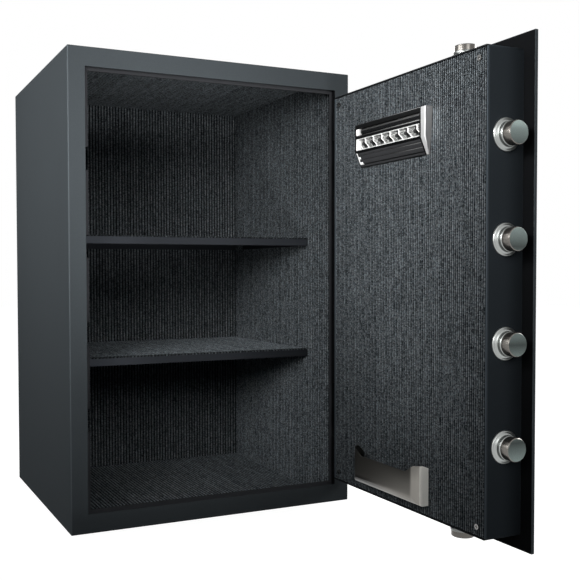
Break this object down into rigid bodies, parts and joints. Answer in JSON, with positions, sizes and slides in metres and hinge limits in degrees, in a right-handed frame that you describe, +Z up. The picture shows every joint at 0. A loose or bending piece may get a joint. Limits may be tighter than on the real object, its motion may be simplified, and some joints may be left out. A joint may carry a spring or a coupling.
{
  "type": "electronic safe",
  "caption": "Upright electronic safe, hinged door open, round bolts out, geared bolt work, keypad and lever outside, lamp and document pocket inside, two shelves.",
  "frame": {"origin": "centre of the safe body's base", "axes": "+Z up, +Y into the depth, +X to the right seen from the front, towards the hinges"},
  "size_m": [0.44, 0.6846, 0.6],
  "materials": {
    "charcoal_paint": "fine powder texture, satin",
    "dark_paint": "satin",
    "carpet": "ribbed, heathered charcoal",
    "bolt_steel": "satin",
    "mechanism_steel": "zinc plated",
    "chrome": "bright",
    "brass": "satin",
    "solenoid": "satin",
    "black_plastic": "fine grain",
    "pocket_plastic": "smooth, satin",
    "key_plastic": "satin",
    "window": "smooth",
    "battery": "smooth",
    "circuit_board": "satin",
    "led": "clear dome"
  },
  "bodies": {
    "safe_body": {"outer_shell": "charcoal_paint", "rear_panel": "charcoal_paint", "front_frame": "charcoal_paint", "hinge_side_liner": "dark_paint", "hinge_pockets": "charcoal_paint", "side_carpets": "carpet", "rear_carpet": "carpet", "ceiling_carpet": "carpet", "floor_carpet": "carpet", "upper_shelf": "dark_paint", "lower_shelf": "dark_paint", "shelf_mats": "carpet", "shelf_supports": "dark_paint", "body_knuckles": "charcoal_paint", "hinge_pins": "bolt_steel"},
    "door": {"door_plate": "charcoal_paint", "door_knuckles": "charcoal_paint", "door_box": "charcoal_paint", "back_panel": "dark_paint", "panel_carpet": "carpet", "panel_screws": "chrome", "bolt_collars": "chrome", "rod_guides": "mechanism_steel", "spindle_bush": "brass", "handle_rose": "chrome", "solenoid": "solenoid", "battery_holder": "black_plastic", "batteries": "battery", "circuit_boards": "circuit_board", "cables": "black_plastic", "keypad_housing": "black_plastic", "display_window": "window", "key_cylinder": "brass", "lamp_housing": "black_plastic", "lamp_reflector": "chrome", "lamp_leds": "led", "lamp_trim": "chrome", "document_pocket": "pocket_plastic", "plunger_spring": "mechanism_steel"},
    "handle": {"handle": "chrome", "spindle": "mechanism_steel"},
    "side_bolts": {"side_bolts": "bolt_steel", "bolt_carrier": "mechanism_steel"},
    "top_bolt": {"top_bolt": "bolt_steel"},
    "bottom_bolt": {"bottom_bolt": "bolt_steel"},
    "plunger": {"plunger": "mechanism_steel"},
    "key_cover": {"key_cover": "black_plastic"},
    "key_plug": {"key_plug": "chrome"},
    "key_1": {"key_1": "key_plastic"},
    "key_2": {"key_2": "key_plastic"},
    "key_3": {"key_3": "key_plastic"},
    "key_4": {"key_4": "key_plastic"},
    "key_5": {"key_5": "key_plastic"},
    "key_6": {"key_6": "key_plastic"},
    "key_7": {"key_7": "key_plastic"},
    "key_8": {"key_8": "key_plastic"},
    "key_9": {"key_9": "key_plastic"},
    "key_10": {"key_10": "key_plastic"},
    "key_11": {"key_11": "key_plastic"},
    "key_12": {"key_12": "key_plastic"}
  },
  "joints": [
    {"name": "door_hinge", "type": "hinge", "parent": "safe_body", "child": "door", "pos_m": [0.19, -0.153, 0.3], "axis": [0, 0, 1], "range_deg": [-90, 20]},
    {"name": "handle_turn", "type": "hinge", "parent": "door", "child": "handle", "pos_m": [0.202, -0.423, 0.3026], "axis": [-1, 0, 0], "range_deg": [-46.7, 43.3]},
    {"name": "side_bolts_slide", "type": "slide", "parent": "door", "child": "side_bolts", "axis": [0, -1, 0], "range_m": [-0.0104, 0.00965]},
    {"name": "top_bolt_slide", "type": "slide", "parent": "door", "child": "top_bolt", "axis": [0, 0, 1], "range_m": [-0.0104, 0.00965]},
    {"name": "bottom_bolt_slide", "type": "slide", "parent": "door", "child": "bottom_bolt", "axis": [0, 0, -1], "range_m": [-0.0104, 0.00965]},
    {"name": "plunger_slide", "type": "slide", "parent": "door", "child": "plunger", "axis": [0, 0, 1], "range_m": [0, 0.0065], "stiffness_N_per_m": 150, "springref_m": -0.003, "deforming": ["plunger_spring"]},
    {"name": "key_cover_swing", "type": "hinge", "parent": "door", "child": "key_cover", "pos_m": [0.2185, -0.423, 0.368], "axis": [-1, 0, 0], "range_deg": [-100, 100]},
    {"name": "key_plug_turn", "type": "hinge", "parent": "door", "child": "key_plug", "pos_m": [0.202, -0.423, 0.352], "axis": [-1, 0, 0], "range_deg": [0, 90]},
    {"name": "key_1_press", "type": "slide", "parent": "door", "child": "key_1", "axis": [-1, 0, 0], "range_m": [0, 0.0012], "stiffness_N_per_m": 600, "springref_m": -0.001},
    {"name": "key_2_press", "type": "slide", "parent": "door", "child": "key_2", "axis": [-1, 0, 0], "range_m": [0, 0.0012], "stiffness_N_per_m": 600, "springref_m": -0.001},
    {"name": "key_3_press", "type": "slide", "parent": "door", "child": "key_3", "axis": [-1, 0, 0], "range_m": [0, 0.0012], "stiffness_N_per_m": 600, "springref_m": -0.001},
    {"name": "key_4_press", "type": "slide", "parent": "door", "child": "key_4", "axis": [-1, 0, 0], "range_m": [0, 0.0012], "stiffness_N_per_m": 600, "springref_m": -0.001},
    {"name": "key_5_press", "type": "slide", "parent": "door", "child": "key_5", "axis": [-1, 0, 0], "range_m": [0, 0.0012], "stiffness_N_per_m": 600, "springref_m": -0.001},
    {"name": "key_6_press", "type": "slide", "parent": "door", "child": "key_6", "axis": [-1, 0, 0], "range_m": [0, 0.0012], "stiffness_N_per_m": 600, "springref_m": -0.001},
    {"name": "key_7_press", "type": "slide", "parent": "door", "child": "key_7", "axis": [-1, 0, 0], "range_m": [0, 0.0012], "stiffness_N_per_m": 600, "springref_m": -0.001},
    {"name": "key_8_press", "type": "slide", "parent": "door", "child": "key_8", "axis": [-1, 0, 0], "range_m": [0, 0.0012], "stiffness_N_per_m": 600, "springref_m": -0.001},
    {"name": "key_9_press", "type": "slide", "parent": "door", "child": "key_9", "axis": [-1, 0, 0], "range_m": [0, 0.0012], "stiffness_N_per_m": 600, "springref_m": -0.001},
    {"name": "key_10_press", "type": "slide", "parent": "door", "child": "key_10", "axis": [-1, 0, 0], "range_m": [0, 0.0012], "stiffness_N_per_m": 600, "springref_m": -0.001},
    {"name": "key_11_press", "type": "slide", "parent": "door", "child": "key_11", "axis": [-1, 0, 0], "range_m": [0, 0.0012], "stiffness_N_per_m": 600, "springref_m": -0.001},
    {"name": "key_12_press", "type": "slide", "parent": "door", "child": "key_12", "axis": [-1, 0, 0], "range_m": [0, 0.0012], "stiffness_N_per_m": 600, "springref_m": -0.001}
  ],
  "couplings": [
    {"joint": "side_bolts_slide", "follows": "handle_turn", "m_per_rad": 0.01275},
    {"joint": "top_bolt_slide", "follows": "handle_turn", "m_per_rad": 0.01275},
    {"joint": "bottom_bolt_slide", "follows": "handle_turn", "m_per_rad": 0.01275}
  ]
}
